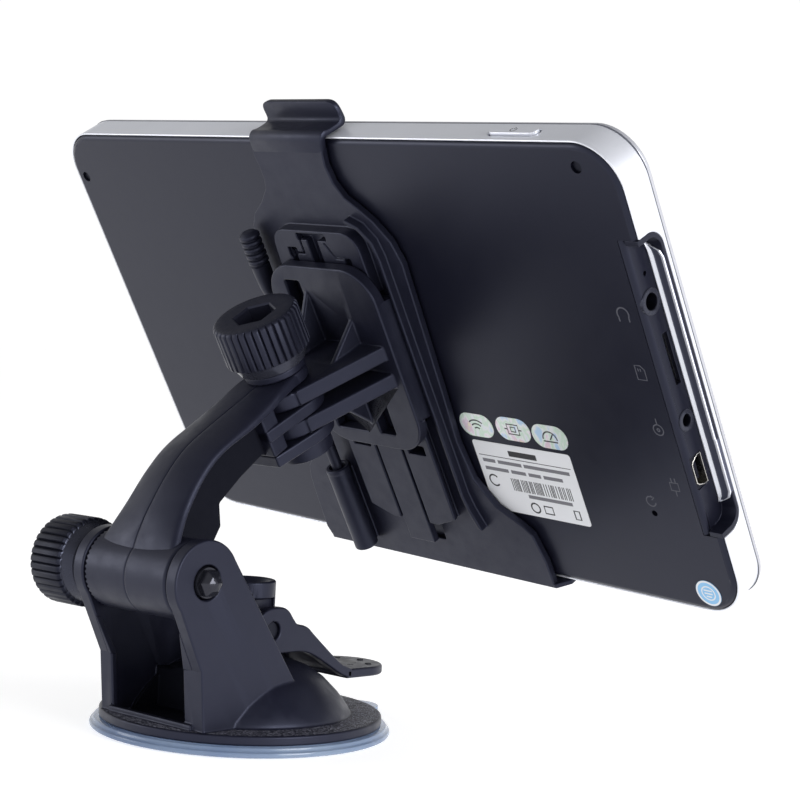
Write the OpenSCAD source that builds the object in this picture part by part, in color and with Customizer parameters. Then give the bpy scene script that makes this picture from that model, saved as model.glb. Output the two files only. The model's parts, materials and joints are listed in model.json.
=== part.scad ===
// Portable navigator in a clip-on cradle on an arm with a lever suction base.
// Frame: origin at the middle of the suction pad's lower face, Z up,
// X along the tilt axle (tilt knob at -X), Y away from the arm's bow, to the screen side.

/* [Pose] */
// lean of the head back from upright, degrees
recline = 32; // [0:1:60]
// turn of the head about its own pivot, degrees
pan = -5; // [-30:1:30]
// height of the pan pivot above the glass
pan_z = 70.1; // [50:0.1:90]
// pan pivot forward of the pad centre
pan_y = 11.8; // [0:0.1:30]

/* [Navigator] */
// width of the back cover
cover_w = 184; // [120:1:200]
// height of the back cover
cover_h = 112; // [70:1:130]
// depth of the silver frame from the back face
frame_y = 8.1; // [6:0.1:14]
// silver frame standing out round the cover
frame_lip = 0.5; // [0.4:0.1:2]
// depth of the front bezel past the frame
bezel_t = 1.3; // [1:0.1:4]
// corner radius of the cover
corner_r = 10; // [4:1:20]
// wall of the cover
cover_wall = 1.5; // [1:0.1:3]

/* [Cradle] */
// back face of the navigator in front of the pan pivot
stand_off = 27.6; // [20:0.1:40]
// wall of the cradle sheet
cradle_t = 1.8; // [1:0.1:3]
// height of the raised rail block on the cradle
rail_h = 3; // [2:0.1:6]
// half width of the raised rail block
rail_half = 14.5; // [10:0.5:20]
// travel needed to lift the cradle off its plate
cradle_travel = 52; // [30:1:70]

/* [Base] */
// radius of the clear suction pad
pad_r = 33.6; // [20:0.1:50]
// thickness of the pad
pad_t = 2.2; // [1:0.1:5]
// radius of the base flange
flange_r = 31.6; // [18:0.1:48]
// thickness of the base flange
flange_t = 2.1; // [1:0.1:4]
// tilt axle height
axle_z = 36; // [25:0.1:50]
// tilt axle behind the pad centre
axle_y = -27.5; // [-35:0.1:-15]
// radius of the ears and of the arm hub
ear_r = 9; // [6:0.1:14]
// outer face of each ear from the middle plane
ear_out = 16.6; // [10:0.1:20]
// inner face of each ear
ear_in = 13.4; // [8:0.1:18]
// radius of the plunger post
post_r = 6.4; // [4:0.1:9]
// lever pin height
pin_z = 22.8; // [18:0.1:28]
// drop of the plunger when the lever is lifted
plunger_drop = 2; // [1:0.1:4]

/* [Knobs] */
// radius of both clamping knobs
knob_r = 10; // [7:0.1:14]
// length of both knobs
knob_len = 12.8; // [8:0.1:18]
// ribs on each knob
knob_ribs = 36; // [24:1:48]
// smooth skirt at the inner end of a knob
knob_skirt = 2.8; // [0:0.1:5]

/* [Hidden] */
$fn = 64;
nav_x = -0.5;
bolt_r = 2.5;
plate_back = stand_off - 0.35 - cradle_t;
rail_top = plate_back - rail_h;
plate_in = rail_top - 0.3;
plate_t = 3;
frame_w = cover_w + 2 * frame_lip;
frame_h = cover_h + 2 * frame_lip;
hook_in = frame_h / 2 + 0.3;
port_x = 88.5;
port_top = 35.2;
port_bot = -35.2;
port_mid = (port_top + port_bot) / 2;
stylus_x = -22.4;
stylus_y = stand_off - 5.4;

module rrect(w, h, r) {
  square([w - 2 * r, h], center = true);
  square([w, h - 2 * r], center = true);
  for (sx = [-1, 1], sz = [-1, 1])
    translate([sx * (w / 2 - r), sz * (h / 2 - r)]) circle(r);
}
module slab(w, h, r, y0, y1) {
  translate([0, y1, 0]) rotate([90, 0, 0]) linear_extrude(y1 - y0) rrect(w, h, r);
}
module sheet(y0, y1) {
  translate([0, y1, 0]) rotate([90, 0, 0]) linear_extrude(y1 - y0) children();
}
module side(x0, x1) {
  translate([x0, 0, 0]) rotate([90, 0, 90]) linear_extrude(x1 - x0) children();
}
module blk(x0, x1, y0, y1, z0, z1) {
  translate([x0, y0, z0]) cube([x1 - x0, y1 - y0, z1 - z0]);
}
module xcyl(x0, x1, r) {
  translate([x0, 0, 0]) rotate([0, 90, 0]) cylinder(h = x1 - x0, r = r);
}
module zcyl(z0, z1, r) {
  translate([0, 0, z0]) cylinder(h = z1 - z0, r = r);
}
module head() {
  translate([0, pan_y, pan_z]) rotate([recline, 0, 0]) children();
}
module panned() {
  head() rotate([0, 0, pan]) children();
}
module nav() {
  panned() translate([nav_x, stand_off, 0]) children();
}
module axle() {
  translate([0, axle_y, axle_z]) children();
}
module pivot() {
  translate([0, 0, pin_z]) children();
}

// one ribbed knob, face at z = 0, body going up
module knob() {
  difference() {
    union() {
      zcyl(0, knob_len, knob_r - 1.6);
      zcyl(knob_skirt, knob_len, knob_r - 0.6);
      for (i = [0 : knob_ribs - 1])
        rotate([0, 0, i * 360 / knob_ribs]) translate([knob_r - 0.6, 0, 0])
          zcyl(knob_skirt + 0.1, knob_len - 0.5, 0.6);
    }
    zcyl(-1, knob_len - 4.4, bolt_r + 0.02);
    translate([0, 0, knob_len - 4.4]) cylinder(h = 5, r = 5, $fn = 6);
  }
}

module suction_pad() {
  color([0.72, 0.82, 0.9]) {
    zcyl(0, pad_t, pad_r);
    difference() {
      union() {
        blk(-6, 6, 30, 38, 0, 1.4);
        translate([0, 37, 0]) zcyl(0, 1.4, 6);
      }
      zcyl(-1, 5, pad_r - 0.5);
    }
  }
}

module base_housing() {
  color([0.13, 0.13, 0.15]) difference() {
    union() {
      zcyl(pad_t, pad_t + flange_t, flange_r);
      rotate_extrude() polygon([[0, 4.2], [24.5, 4.2], [24.1, 5.4], [21.7, 8.5], [18.3, 11.8],
        [15, 13.9], [12, 15], [9.6, 15.4], [0, 15.4]]);
      for (s = [-1, 1]) scale([s, 1, 1]) {
        axle() xcyl(ear_in, ear_out, ear_r);
        side(ear_in, ear_out) polygon([[-36.2, 33.8], [-27.9, 17.2], [-26.6, 4.2], [-16.6, 4.2],
          [-15.6, 6.2], [-13, 8.6], [-8, 11], [0.2, 12.6], [-20, 40.9], [-27.5, 40]]);
      }
      // returns along the front edges of the ears, a sill and a cross wall between them
      for (x = [[-ear_in - 0.1, -ear_in + 0.9], [ear_in - 2.8, ear_in + 0.1]])
        side(x[0], x[1]) polygon([[-26.6, 4.2], [-27.9, 17.2], [-26.3, 17.2], [-25, 4.2]]);
      blk(-ear_in, ear_in, -27.4, -26, 4.2, 5.6);
      blk(-ear_in, ear_in, -14, -11.4, 4.2, 13);
    }
    zcyl(0, 13.9, 9.6);
    zcyl(13, 16, post_r + 0.3);
    blk(-(ear_in - 1.2), ear_in - 2.8, -26, -14, 4.4, 20);
    axle() xcyl(-20, 20, bolt_r + 0.4);
    axle() xcyl(ear_in + 0.8, 20, 3.7);
    zcyl(-1, pad_t, 40);
  }
}

module plunger() {
  color([0.13, 0.13, 0.15]) difference() {
    union() {
      zcyl(pad_t + 2.7, 33.4, post_r);
      zcyl(pad_t + 2.7, pad_t + 4.2, 9);
    }
    translate([0, 0, 31.6]) cylinder(h = 3, r1 = 3.6, r2 = 6.4);
    for (s = [-1, 1]) scale([s, 1, 1]) blk(4.6, 8, -3.2, 3.2, 18, 29.6);
    pivot() xcyl(-9, 9, 2.02);
  }
}

module plunger_spring() {
  color([0.7, 0.7, 0.72]) for (i = [0 : 3])
    translate([0, 0, 7.2 + i * 1.9]) rotate_extrude() translate([7.8, 0]) circle(0.5);
}

module lever() {
  color([0.12, 0.12, 0.14]) difference() {
    union() {
      for (s = [-1, 1]) scale([s, 1, 1]) {
        pivot() xcyl(6.7, 9.1, 5.2);
        side(6.7, 9.1) polygon([[0, 17.7], [10.5, 17.3], [21.3, 11.9], [26, 9.9], [26, 12.2],
          [20.6, 15.2], [11.4, 22.9], [8.2, 23.4], [6.4, 25.2], [4.4, 28], [0, 28]]);
      }
      side(-9.1, 9.1) polygon([[9.6, 21.4], [11.4, 22.9], [20.6, 15.2], [26, 12.2], [26, 9.9],
        [20, 13.4]]);
      intersection() {
        side(-9.1, 9.1) polygon([[22, 12.9], [26, 12.2], [42, 10.1], [42, 8], [26, 9.9],
          [22, 10.6]]);
        union() {
          zcyl(0, 0.01, 1);
          blk(-9.1, 9.1, 20, 33, 0, 20);
          translate([0, 33, 0]) zcyl(0, 20, 9.1);
        }
      }
    }
    pivot() xcyl(-12, 12, 2.06);
    pivot() xcyl(-6.6, 6.6, 12.7);
    for (p = [[-4, 31], [4, 31], [0, 28], [-5, 36], [5, 36], [0, 38.6]])
      translate([p[0], p[1], 0]) zcyl(9.8, 14, 0.8);
  }
}

module lever_pin() {
  color([0.72, 0.72, 0.74]) pivot() {
    xcyl(-8.3, 8.3, 2);
  }
}

module tilt_bolt() {
  color([0.25, 0.25, 0.27]) axle() {
    xcyl(-27.4, ear_in + 0.9, bolt_r);
    xcyl(ear_in + 0.85, ear_out - 1, 3.3);
    translate([ear_out - 1, 0, 0]) rotate([0, 90, 0]) cylinder(h = 1.5, r1 = 3.3, r2 = 0.8);
  }
}

module tilt_washer() {
  color([0.13, 0.13, 0.15]) axle() difference() {
    xcyl(-17.95, -ear_out - 0.05, 7.4);
    xcyl(-20, -10, bolt_r + 0.35);
  }
}

module tilt_knob() {
  color([0.1, 0.1, 0.11]) axle() translate([-18, 0, 0]) rotate([0, -90, 0]) knob();
}

module arm_shell() {
  color([0.14, 0.14, 0.16]) difference() {
    union() {
      axle() xcyl(2 - ear_in + 0.2, ear_in - 0.4, ear_r - 0.3);
      // outer skin and skirts, crowned in three steps
      side(-5, 5) polygon([[-1.1, 75.8], [-11.3, 69.5], [-20.4, 63.2], [-25.9, 57.1],
        [-30.2, 50.4], [-33, 44.8], [-34.4, 39.6], [-33.5, 36], [-24, 36], [-25.2, 43.5],
        [-24.7, 48], [-22.3, 52.8], [-19.1, 57.5], [-14.1, 62.4], [-6.2, 68], [1.4, 71.2]]);
      side(-7.4, 7.4) polygon([[-0.5, 74.9], [-10.7, 68.6], [-19.6, 62.4], [-25, 56.4],
        [-29.2, 49.9], [-32, 44.4], [-33.4, 39.6], [-33.5, 36], [-24, 36], [-25.2, 43.5],
        [-24.7, 48], [-22.3, 52.8], [-19.1, 57.5], [-14.1, 62.4], [-6.2, 68], [1.4, 71.2]]);
      side(-8.6, 8.6) polygon([[0.3, 73.6], [-9.9, 67.3], [-18.2, 61], [-23.4, 55.2],
        [-27.4, 49.1], [-30.2, 43.8], [-31.8, 39.6], [-31.8, 36], [-24, 36], [-25.2, 43.5],
        [-24.7, 48], [-22.3, 52.8], [-19.1, 57.5], [-14.1, 62.4], [-6.2, 68], [1.4, 71.2]]);
      // middle web
      side(-1.8, 1.8) polygon([[-24, 36], [-28, 46], [-22, 58], [-10, 67], [1, 72], [6.6, 63.8],
        [3.6, 60.8], [-0.6, 61.6], [-7, 56.6], [-12.9, 51], [-12.2, 46], [-16.6, 38]]);
      head() {
        zcyl(9.1, 12, 8.2);
        zcyl(1.9, 4.8, 8.2);
        zcyl(-5.2, -2.3, 8.2);
        zcyl(-9.4, -5.2, 6.6);
        blk(-8.2, 8.2, -14.4, 0, 9.1, 12);
        blk(-6.5, 6.5, -14, 0, 1.9, 4.8);
        blk(-5, 5, -14, 0, -5.2, -2.3);
        blk(-6.5, 6.5, -14.4, -9.4, -2, 10);
        blk(-4.4, 4.4, -12.4, -8.6, -5.2, 0);
      }
    }
    // hollow under the skin
    for (s = [-1, 1]) scale([s, 1, 1]) side(1.8, 6.8) polygon([[-12.6, 64.6], [-20, 58.4],
      [-24.8, 51.2], [-27.6, 46], [-22, 46], [-18, 53], [-8, 65]]);
    axle() xcyl(-20, 20, bolt_r + 0.35);
    head() {
      zcyl(-20, 20, bolt_r + 0.35);
      translate([0, 0, -9.5]) cylinder(h = 3.8, r = 4.75, $fn = 6);
      // room for the two prongs of the head plate
      zcyl(4.8, 9.1, 8.9);
      zcyl(-2.3, 1.9, 8.9);
    }
  }
}

module detent_ring() {
  color([0.12, 0.12, 0.13]) axle() difference() {
    union() {
      xcyl(-13.1, -11.25, ear_r - 0.6);
      for (i = [0 : 35]) rotate([i * 10, 0, 0]) translate([0, ear_r - 0.6, 0]) xcyl(-13.1, -11.25, 0.4);
    }
    xcyl(-20, -8, bolt_r + 0.35);
  }
}

module head_bolt() {
  color([0.6, 0.6, 0.62]) head() zcyl(-8.9, 21, bolt_r);
}

module head_nut() {
  color([0.65, 0.65, 0.66]) head() difference() {
    translate([0, 0, -9.2]) cylinder(h = 3.4, r = 4.6, $fn = 6);
    zcyl(-12, 0, bolt_r + 0.02);
  }
}

module head_washer() {
  color([0.13, 0.13, 0.15]) head() difference() {
    zcyl(12.05, 13.95, 7.2);
    zcyl(10, 20, bolt_r + 0.35);
  }
}

module head_knob() {
  color([0.1, 0.1, 0.11]) head() zcylknob();
}
module zcylknob() {
  translate([0, 0, 14]) knob();
}

module head_plate() {
  color([0.14, 0.14, 0.16]) panned() difference() {
    union() {
      translate([0, 0, 4]) slab(35.6, 48, 9, plate_in - plate_t, plate_in);
      for (s = [-1, 1]) scale([s, 1, 1]) {
        blk(rail_half + 0.3, 17.8, plate_in - 1, plate_back - 0.3, -12, 19);
        blk(rail_half - 1.2, 17.8, plate_back - 1.5, plate_back - 0.3, -12, 19);
      }
      for (z = [5.1, -2]) translate([0, 0, z]) linear_extrude(3.7) {
        circle(8.2);
        polygon([[-7.75, -2.7], [7.75, -2.7], [15.6, plate_in - plate_t + 0.5],
          [-15.6, plate_in - plate_t + 0.5]]);
      }
      // upright gussets above the top prong and a rib below the lower one
      side(-5.6, -4.2) polygon([[9.6, 8.6], [plate_in - 2.5, 8.6], [plate_in - 2.5, 22.5]]);
      side(6.6, 8) polygon([[9.6, 8.6], [plate_in - 2.5, 8.6], [plate_in - 2.5, 15.5]]);
      side(0.6, 2) polygon([[9.6, -1.8], [plate_in - 2.5, -1.8], [plate_in - 2.5, -14]]);
    }
    zcyl(-20, 20, bolt_r + 0.35);
    blk(-11.4, -6.4, 0, 40, 12, 24);
    blk(-11.6, -0.6, 0, 40, -16, -6);
    blk(3.4, 8.6, 0, 40, -16, -6);
  }
}

module cradle_outline() {
  polygon([[-14, 57], [-14, 52], [-13.6, 50.4], [-13.6, 46.8], [-14.4, 44.4], [-17.7, 40.9],
    [-21.8, 37.8], [-24.2, 34.4], [-24.8, 30], [-24.6, 26], [-24, -19],
    [-24.5, -23.6], [-26.2, -27], [-29, -29.3], [-33, -31.2], [-36.4, -33], [-38.6, -35.4],
    [-39.7, -38.6], [-40.2, -43], [-41, -54.6], [-40, -57.2], [37.8, -57.2], [37.6, -50.4], [36, -43.4], [33.4, -41], [27, -37],
    [22.4, -30], [21.2, -20], [22, -8], [22.6, 7], [23.6, 27], [22.2, 32.4], [18.8, 37.2],
    [15.5, 40.2], [12, 42.9], [10, 46.4], [9.4, 50.7], [10.2, 54.6], [11, 57]]);
}

module cradle() {
  color([0.15, 0.15, 0.17]) panned() difference() {
    union() {
      sheet(plate_back, plate_back + cradle_t) cradle_outline();
      // raised rail block with an undercut on both sides
      sheet(rail_top, rail_top + 1.2) polygon([[-10, 35.6], [10, 35.6], [12, 35.1], [13.5, 33.9],
        [14.3, 32.2], [rail_half, 30], [rail_half, -41], [8, -43.5], [-8, -43.5],
        [-rail_half, -41], [-rail_half, 30], [-14.3, 32.2], [-13.5, 33.9], [-12, 35.1]]);
      sheet(rail_top + 1.1, plate_back + 0.1) polygon([[-10, 35.6], [10, 35.6], [12, 35.1],
        [13.5, 33.9], [14.3, 32.2], [rail_half, 30], [rail_half, 20], [12.8, 20], [12.8, -42],
        [-12.8, -42], [-12.8, 20], [-rail_half, 20], [-rail_half, 30], [-14.3, 32.2],
        [-13.5, 33.9], [-12, 35.1]]);
      // long guard rail beside the rail block, flared at its foot
      sheet(plate_back - 2.2, plate_back + 0.1) polygon([[11.5, 37.6], [15, 36], [17.6, 32.8],
        [18.4, 29], [18.4, -34], [19, -38], [20.6, -43], [21.8, -43.4], [20, -38], [19.3, -34],
        [19.3, 29], [18.5, 33.2], [15.7, 36.8], [11.8, 38.6]]);
      // top hook with finger lip
      side(-14, 11) polygon([[plate_back, 55], [plate_back, 56.8], [plate_back + 1.6, 58.4],
        [stand_off + 4.6, 58.4], [stand_off + 5, 59.2], [stand_off + 4.6, 63.2],
        [stand_off + 6.2, 63], [stand_off + 6.9, 58.6], [stand_off + 5.9, hook_in],
        [stand_off - 0.35, hook_in], [stand_off - 0.35, 55]]);
      // bottom ledge
      translate([0, 0, -hook_in - 1.2]) linear_extrude(1.2) polygon([[-40, plate_back],
        [38.2, plate_back], [41, plate_back + 2.8], [41, stand_off + 4.6],
        [-40, stand_off + 4.6]]);
      // stylus holder on a short web
      translate([stylus_x, stylus_y, 0]) zcyl(-54.6, -31.6, 3);
      blk(stylus_x - 1.5, stylus_x + 1.5, stylus_y + 2.2, plate_back + 0.1, -54, -32.4);
    }
    translate([stylus_x, stylus_y, 0]) zcyl(-53.4, -30, 2);
    // T slot and cuts at the top of the block
    blk(-5.4, 4.4, rail_top - 1, rail_top + 2, 33.2, 34.8);
    blk(-2.4, 1.2, rail_top - 1, rail_top + 2, 22, 34);
    blk(-9.6, -7.6, rail_top - 1, rail_top + 1.6, 24.6, 30);
    blk(8.4, 10.6, rail_top - 1, rail_top + 1.6, 24.6, 29);
    // windows beside the tongue and the opening the tongue sits in
    blk(-12.4, -6.6, rail_top - 1, stand_off, -23.2, -20.6);
    blk(6.6, 12.4, rail_top - 1, stand_off, -23.2, -20.6);
    blk(-5, 5, rail_top - 1, stand_off, -50.2, -21);
  }
}

module release_tongue() {
  color([0.15, 0.15, 0.17]) panned() {
    blk(-4.2, 4.2, rail_top, rail_top + 1.8, -49.4, -21);
  }
}

module stylus_at() {
  panned() translate([stylus_x, stylus_y, 0]) children();
}
module stylus_cap() {
  color([0.1, 0.1, 0.12]) stylus_at() {
    zcyl(26, 34.6, 2);
    for (i = [0 : 4]) zcyl(26.6 + i * 1.7, 27.7 + i * 1.7, 2.5);
    translate([0, 0, 18]) cylinder(h = 8, r1 = 1.6, r2 = 2.3);
  }
}
module stylus_neck() {
  color([0.8, 0.8, 0.82]) stylus_at() zcyl(14.2, 17.95, 0.9);
}
module stylus_barrel() {
  color([0.1, 0.1, 0.12]) stylus_at() {
    zcyl(-50.3, 14.15, 1.4);
  }
}
module stylus_tip() {
  color([0.85, 0.85, 0.85]) stylus_at() translate([0, 0, -53.1]) cylinder(h = 2.75, r1 = 0.5, r2 = 1.3);
}

module screw_spots() {
  for (p = [[-88.2, 44.4], [82.1, 51], [83.7, -51], [-83.7, -51]])
    translate([p[0], 0, p[1]]) children();
}

module back_cover() {
  color([0.11, 0.11, 0.13]) nav() difference() {
    slab(cover_w, cover_h, corner_r, 0, 3.2);
    difference() {
      slab(cover_w - 3.4, cover_h - 3.4, corner_r - 1.7, cover_wall, 4);
      screw_spots() rotate([-90, 0, 0]) zcyl(0, 5, 2.6);
    }
    screw_spots() rotate([-90, 0, 0]) zcyl(-1, 1.3, 1.35);
    screw_spots() rotate([-90, 0, 0]) zcyl(-1, 5, 0.7);
    blk(port_x - 1.4, 95, -1, 5, port_bot, port_top);
    // room for the jack tube, the data socket and the power button
    translate([0, 3, 19.9]) xcyl(75.8, 95, 1.95);
    blk(79.4, 95, 0.9, 5, -24.3, -16.3);
    translate([64.3, 4, 50]) rrect_bore(13.6, 3.45);
    translate([75, 0, -31.7]) rotate([-90, 0, 0]) zcyl(-1, 5, 0.75);
    // speaker slots
    for (i = [0 : 4]) blk(-70, -58, -1, 3, -30 - i * 2.4, -29 - i * 2.4);
  }
}

module side_frame() {
  color([0.8, 0.81, 0.83]) nav() difference() {
    slab(frame_w, frame_h, corner_r + 1, 0.5, frame_y);
    slab(cover_w, cover_h, corner_r, 0, 3.2);
    slab(cover_w - 3, cover_h - 3, corner_r - 1.5, 3.1, frame_y + 1);
    side(port_x - 3, 95) translate([-4.8, port_mid]) rrect(24, port_top - port_bot, 4);
    translate([64.3, 4, 50]) rrect_bore(13.6, 3.45);
  }
}
module rrect_bore(w, d) {
  linear_extrude(12) {
    square([w - d, d], center = true);
    for (s = [-1, 1]) translate([s * (w - d) / 2, 0]) circle(d / 2);
  }
}

module front_bezel() {
  color([0.08, 0.08, 0.09]) nav() difference() {
    slab(cover_w + 0.6, cover_h + 0.6, corner_r + 0.3, frame_y, frame_y + bezel_t);
    slab(162, 96.4, 2, frame_y - 1, frame_y + 4);
  }
}
module touch_glass() {
  color([0.05, 0.05, 0.06]) nav() slab(161.9, 96.3, 1.9, frame_y + 0.4, frame_y + 1.5);
}
module lcd_panel() {
  color([0.3, 0.32, 0.35]) nav() slab(161, 95.4, 1, 6.1, frame_y + 0.35);
}

module port_panel() {
  color([0.1, 0.1, 0.11]) nav() difference() {
    intersection() {
      side(port_x - 1.35, frame_w / 2 - 0.2) translate([-4.85, port_mid])
        rrect(24, port_top - port_bot - 0.1, 3.95);
      blk(80, 95, 0, 8, port_bot, port_top);
    }
    side(port_x, 95) translate([-5.6, port_mid]) rrect(24, port_top - port_bot - 2.5, 3);
    translate([0, 3.6, 26]) xcyl(80, 90, 0.5);
    translate([0, 3, 19.9]) xcyl(80, 90, 2.75);
    blk(80, 90, 3.4, 5, 0, 12);
    translate([0, 3.2, -8.2]) xcyl(80, 90, 1.75);
    blk(80, 90, 0.9, 4.7, -24.2, -16.4);
  }
}
module main_board() {
  color([0.1, 0.35, 0.18]) nav() difference() {
    union() {
      blk(-20, 81.6, 5, 6, -46, 46);
      blk(-80, -20, 5, 6, 20, 46);
    }
    translate([-76, 0, 23]) rotate([-90, 0, 0]) zcyl(4, 7, 1.2);
    translate([78, 0, 42]) rotate([-90, 0, 0]) zcyl(4, 7, 1.2);
  }
}
module battery() {
  color([0.75, 0.77, 0.8]) nav() slab(60, 44, 1.5, 1.9, 4.9);
}
module speaker() {
  color([0.12, 0.12, 0.13]) nav() difference() {
    translate([-64, 0, -35]) slab(30, 20, 4, 1.6, 4.6);
    translate([-64, 0, -35]) slab(22, 12, 3, 1, 1.9);
  }
}
module patch_antenna() {
  color([0.82, 0.78, 0.68]) nav() blk(-78, -60, 1.7, 4.7, 24, 42);
}
module shield_cans() {
  color([0.75, 0.76, 0.78]) nav() {
    blk(40, 58, 2.4, 4.95, -2, 16);
    blk(40, 54, 2.4, 4.95, -26, -8);
  }
}
module audio_jack() {
  color([0.12, 0.12, 0.13]) nav() difference() {
    union() {
      blk(76, port_x - 1.4, 1.6, 4.95, 16.6, 23.2);
      translate([0, 3, 19.9]) xcyl(85, port_x, 2.7);
    }
    translate([0, 3, 19.9]) xcyl(77, 95, 1.78);
    blk(70, 95, -2, 1.55, 10, 30);
    blk(70, port_x - 1.45, 4.95, 9, 10, 30);
  }
}
module av_jack() {
  color([0.12, 0.12, 0.13]) nav() difference() {
    union() {
      blk(76, port_x - 1.4, 1.6, 4.95, -11.2, -5.2);
      translate([0, 3.2, -8.2]) xcyl(85, port_x, 1.7);
    }
    translate([0, 3.2, -8.2]) xcyl(77, 95, 1.27);
    blk(70, 95, 4.95, 9, -20, 0);
  }
}
module usb_socket() {
  color([0.8, 0.8, 0.82]) nav() {
    difference() {
      blk(79.6, port_x - 0.05, 1, 4.6, -24.1, -16.5);
      blk(80.2, 95, 1.35, 4.25, -23.75, -16.85);
    }
    blk(80.2, 86.6, 2.5, 3.2, -22.8, -17.8);
  }
}
module card_socket() {
  color([0.78, 0.78, 0.8]) nav() difference() {
    blk(70, port_x - 1.5, 3.2, 4.95, -0.6, 12.6);
    blk(71, 95, 3.5, 4.6, 0.2, 11.8);
  }
}
module microphone() {
  color([0.8, 0.8, 0.82]) nav() blk(83.4, port_x - 1.45, 1.8, 4.95, 24, 28);
}
module reset_switch() {
  color([0.7, 0.7, 0.72]) nav() blk(73, 77, 3, 4.95, -33.7, -29.7);
}
module reset_button() {
  color([0.2, 0.2, 0.2]) nav() translate([75, 0, -31.7]) rotate([-90, 0, 0]) zcyl(1.6, 2.7, 0.6);
}
module power_switch() {
  color([0.7, 0.7, 0.72]) nav() blk(60.4, 68.4, 3.2, 4.95, 43, 51.9);
}
module power_button() {
  color([0.82, 0.83, 0.85]) nav() translate([64.3, 4, 52.4]) linear_extrude(4.7) {
    square([12.9 - 2.8, 2.8], center = true);
    for (s = [-1, 1]) translate([s * 5.05, 0]) circle(1.4);
  }
}
module cover_screws() {
  color([0.3, 0.3, 0.32]) nav() screw_spots() rotate([-90, 0, 0]) {
    zcyl(0.6, 1.28, 1.3);
    zcyl(1.2, 4, 0.65);
  }
}
module info_label() {
  color([0.93, 0.93, 0.93]) nav() translate([39.7, 0, -29.4]) slab(30, 19.2, 0.8, -0.1, 0);
}
module oval_stickers() {
  color([0.8, 0.75, 0.85]) nav() for (p = [[28, -15.6], [39.6, -15.2], [50.5, -15.7]])
    translate([p[0], 0, p[1]]) slab(10.4, 6.2, 3.05, -0.1, 0);
}
module round_sticker() {
  color([0.6, 0.8, 0.92]) nav() translate([83.7, 0, -51]) rotate([90, 0, 0]) zcyl(0, 0.1, 3.3);
}

suction_pad();
base_housing();
plunger();
plunger_spring();
lever();
lever_pin();
tilt_bolt();
tilt_knob();
tilt_washer();
arm_shell();
detent_ring();
head_bolt();
head_nut();
head_knob();
head_washer();
head_plate();
cradle();
release_tongue();
stylus_cap();
stylus_neck();
stylus_barrel();
stylus_tip();
back_cover();
side_frame();
front_bezel();
touch_glass();
lcd_panel();
port_panel();
main_board();
battery();
speaker();
patch_antenna();
shield_cans();
audio_jack();
av_jack();
usb_socket();
card_socket();
microphone();
reset_switch();
reset_button();
power_switch();
power_button();
cover_screws();
info_label();
oval_stickers();
round_sticker();
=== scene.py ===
import json
import math
import random
import bpy
import bmesh
from mathutils import Vector, Matrix

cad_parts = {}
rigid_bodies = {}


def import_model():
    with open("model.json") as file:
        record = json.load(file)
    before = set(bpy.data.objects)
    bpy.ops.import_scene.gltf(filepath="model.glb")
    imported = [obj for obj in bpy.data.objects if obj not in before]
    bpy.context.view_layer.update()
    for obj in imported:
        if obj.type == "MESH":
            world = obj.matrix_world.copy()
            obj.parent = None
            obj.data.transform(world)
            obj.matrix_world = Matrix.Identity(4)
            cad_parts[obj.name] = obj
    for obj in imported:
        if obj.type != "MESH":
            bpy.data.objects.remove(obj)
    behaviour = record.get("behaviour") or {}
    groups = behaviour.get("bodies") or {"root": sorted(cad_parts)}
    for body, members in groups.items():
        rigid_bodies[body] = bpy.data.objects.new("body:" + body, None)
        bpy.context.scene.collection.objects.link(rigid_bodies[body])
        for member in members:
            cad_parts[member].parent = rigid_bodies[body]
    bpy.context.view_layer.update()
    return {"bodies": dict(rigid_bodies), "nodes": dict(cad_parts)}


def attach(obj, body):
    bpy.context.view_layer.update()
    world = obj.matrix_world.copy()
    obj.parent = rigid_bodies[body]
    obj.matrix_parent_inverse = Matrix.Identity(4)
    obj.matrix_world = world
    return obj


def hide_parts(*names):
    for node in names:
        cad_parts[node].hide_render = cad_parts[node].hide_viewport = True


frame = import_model()
NODES = frame["nodes"]
scene = bpy.context.scene
scene.view_settings.view_transform = "Standard"
MM = 0.001
S = Matrix.Scale(MM, 4)
BASE = S
# tilt axle, pan pivot, back face of the navigator and stylus, in mm as in the part
TILT_AXLE = (0, -27.5, 36)
PAN_PIVOT = (0, 11.8, 70.1)
RECLINE, PAN_TURN = 32, -5
NAV_OFFSET = (-0.5, 27.6, 0)
PEN_OFFSET = (-22.4, 22.2, 0)
COVER_W, COVER_H, CORNER_R, FRAME_Y = 184, 112, 10, 8.1
PORT_X = 88.5
AXLE = S @ Matrix.Translation(TILT_AXLE)
HEAD = S @ Matrix.Translation(PAN_PIVOT) @ Matrix.Rotation(math.radians(RECLINE), 4, "X")
PAN = HEAD @ Matrix.Rotation(math.radians(PAN_TURN), 4, "Z")
NAV = PAN @ Matrix.Translation(NAV_OFFSET)
PEN = PAN @ Matrix.Translation(PEN_OFFSET)

# ---------- camera ----------
cam_data = bpy.data.cameras.new("cam")
cam = bpy.data.objects.new("cam", cam_data)
scene.collection.objects.link(cam)
scene.camera = cam
cam_data.sensor_width = 36
cam_data.lens = 89.15
cam_data.clip_start = 0.01
cam_data.clip_end = 50
right = Vector((0.7438, 0.6662, 0.0541)).normalized()
back = Vector((0.6657, -0.7457, 0.0300)).normalized()
up = back.cross(right).normalized()
right = up.cross(back)
cam.matrix_world = Matrix.Translation((0.31852, -0.30888, 0.08856)) @ Matrix((right, up,
    back)).transposed().to_4x4()


# ---------- materials ----------
def new_mat(name, **vals):
    m = bpy.data.materials.new(name)
    m.use_nodes = True
    nt = m.node_tree
    bsdf = nt.nodes["Principled BSDF"]
    for k, v in vals.items():
        key = k.replace("_", " ")
        names = {s.name.lower(): s for s in bsdf.inputs}
        s = names[key.lower()]
        s.default_value = v
    return m, nt, bsdf


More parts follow.
